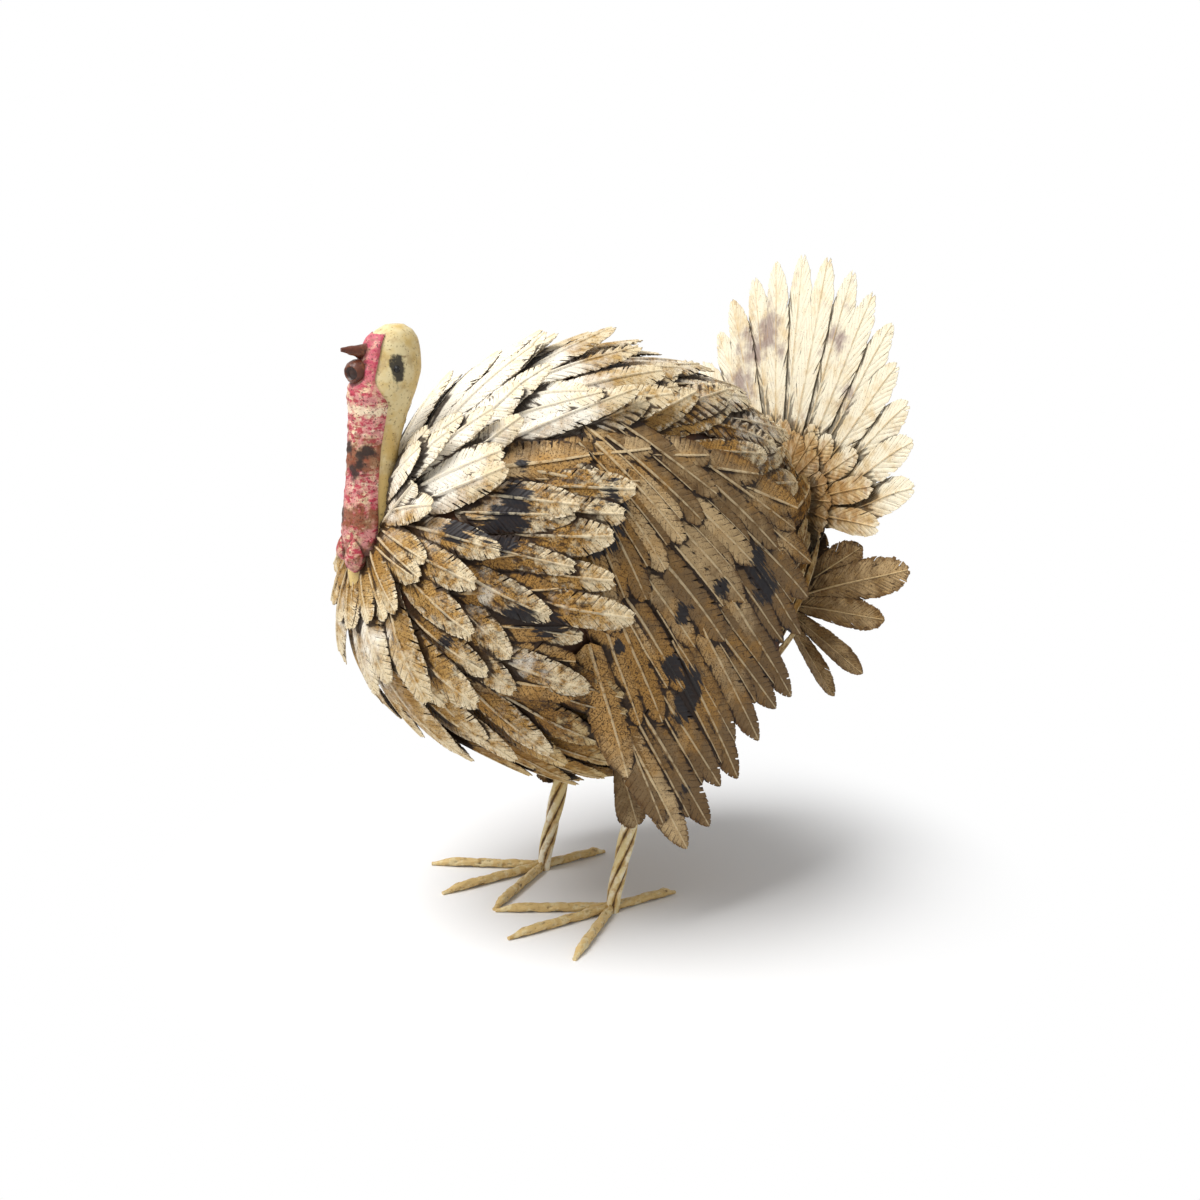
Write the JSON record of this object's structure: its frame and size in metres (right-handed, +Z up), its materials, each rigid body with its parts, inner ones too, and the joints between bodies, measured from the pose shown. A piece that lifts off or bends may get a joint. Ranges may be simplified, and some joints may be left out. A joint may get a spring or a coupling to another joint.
{
  "type": "turkey figure",
  "caption": "Standing turkey of welded, pressed and painted sheet metal with a raised tail fan, layered feathers and twisted-bar legs, for seasonal display on a floor, porch or hearth",
  "frame": {"origin": "centre of the footprint, on the surface that the toes stand on", "axes": "+Z up from the surface; the figure faces -X, with its tail towards +X; -Y is the figure's own left side and +Y its right"},
  "size_m": [0.5334, 0.3724, 0.6135],
  "materials": {
    "body_feather_cream": "chalky cream paint over steel sheet, rubbed to ochre with rust specks and dark bare patches",
    "belly_feather_ochre": "thin cream paint over ochre and rust, heavily rubbed",
    "wing_beige": "chalky beige-grey paint with brown wear along the feather lines",
    "fan_white": "chalky warm white paint with purple-brown smudges",
    "low_tail_ochre": "rubbed ochre paint over brown rust",
    "head_cream": "semi-matt cream paint with ochre and dark smudges",
    "face_red": "pink-red paint rubbed through to cream on the knobs",
    "beak_brown": "dark brown paint, slightly glossy",
    "eye_dark": "near-black paint, slightly glossy",
    "leg_gold": "yellow-gold paint with brown grooves",
    "shell_rust": "dark rust-brown primer under the feathers"
  },
  "bodies": {
    "root": {"body_shell_left": "shell_rust", "body_shell_right": "shell_rust", "head_and_nape": "head_cream", "face_and_throat": "face_red", "wattle_large": "face_red", "wattle_small": "face_red", "beak_upper": "beak_brown", "beak_lower": "beak_brown", "eye_left": "eye_dark", "eye_right": "eye_dark", "leg_left": "leg_gold", "leg_right": "leg_gold", "toe_middle_left": "leg_gold", "toe_outer_left": "leg_gold", "toe_inner_left": "leg_gold", "toe_hind_left": "leg_gold", "toe_middle_right": "leg_gold", "toe_outer_right": "leg_gold", "toe_inner_right": "leg_gold", "toe_hind_right": "leg_gold", "thigh_feather_left": "body_feather_cream", "thigh_feather_right": "body_feather_cream", "breast_feathers_row_1": "body_feather_cream", "breast_feathers_row_2": "body_feather_cream", "breast_feathers_row_3": "body_feather_cream", "back_feathers_row_4": "body_feather_cream", "back_feathers_row_5": "body_feather_cream", "back_feathers_row_6": "body_feather_cream", "back_feathers_row_7": "body_feather_cream", "back_feathers_row_8": "body_feather_cream", "back_feathers_row_9": "body_feather_cream", "belly_feathers_row_4": "belly_feather_ochre", "belly_feathers_row_5": "belly_feather_ochre", "belly_feathers_row_6": "belly_feather_ochre", "belly_feathers_row_7": "belly_feather_ochre", "belly_feathers_row_8": "belly_feather_ochre", "belly_feathers_row_9": "belly_feather_ochre", "belly_feathers_row_10": "belly_feather_ochre", "belly_feathers_row_11": "belly_feather_ochre", "wing_plate_left": "shell_rust", "wing_primaries_left": "wing_beige", "wing_secondaries_left": "wing_beige", "wing_coverts_left": "wing_beige", "wing_plate_right": "shell_rust", "wing_primaries_right": "wing_beige", "wing_secondaries_right": "wing_beige", "wing_coverts_right": "wing_beige", "tail_plate": "shell_rust", "tail_fan_front_left": "fan_white", "tail_fan_back_left": "fan_white", "tail_coverts_left": "fan_white", "tail_low_feathers_left": "low_tail_ochre", "tail_fan_front_right": "fan_white", "tail_fan_back_right": "fan_white", "tail_coverts_right": "fan_white", "tail_low_feathers_right": "low_tail_ochre"}
  },
  "joints": []
}
